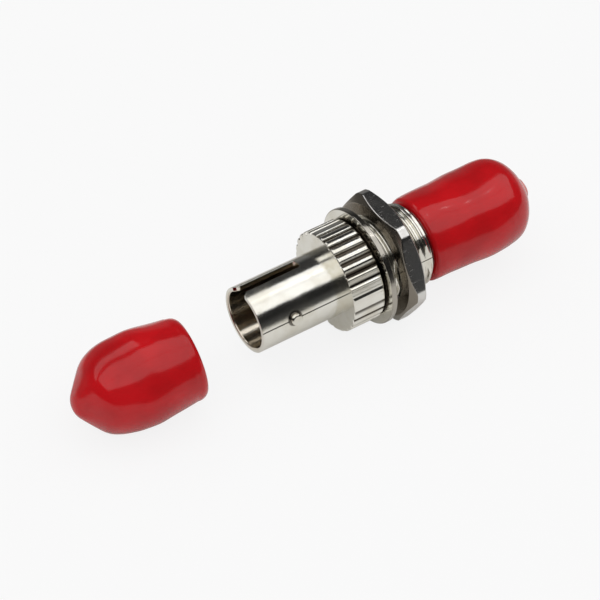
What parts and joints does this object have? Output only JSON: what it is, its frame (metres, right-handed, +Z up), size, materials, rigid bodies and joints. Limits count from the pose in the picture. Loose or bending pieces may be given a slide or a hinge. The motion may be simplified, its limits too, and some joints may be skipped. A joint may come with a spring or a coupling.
{
  "type": "st fibre adapter",
  "caption": "Bayonet fibre-optic bulkhead adapter with keyed barrels, a knurled collar, a flange, a threaded shank with a hex nut, and soft dust caps.",
  "frame": {"origin": "on the adapter's axis, in the back face of the flange, where the panel bears", "axes": "+X along the adapter through the panel to the capped end, +Z up; the adapter lies on one flat of its nut"},
  "size_m": [0.0531, 0.014, 0.0126],
  "materials": {
    "nickel_plate": "bright nickel plate on a die casting",
    "nut_plate": "bright nickel plate on a turned nut",
    "sleeve_bronze": "plain spring bronze",
    "red_vinyl": "glossy soft vinyl"
  },
  "bodies": {
    "adapter": {"front_housing": "nickel_plate", "rear_housing": "nickel_plate", "alignment_sleeve": "sleeve_bronze", "loose_dust_cap": "red_vinyl"},
    "nut": {"hex_nut": "nut_plate"},
    "fitted_cap": {"fitted_dust_cap": "red_vinyl"}
  },
  "joints": [
    {"name": "nut_turn", "type": "hinge", "parent": "adapter", "child": "nut", "pos_m": [0.00235, 0, 0], "axis": [1, 0, 0], "continuous": true},
    {"name": "cap_pull", "type": "slide", "parent": "adapter", "child": "fitted_cap", "axis": [1, 0, 0], "range_m": [0, 0.014]}
  ]
}
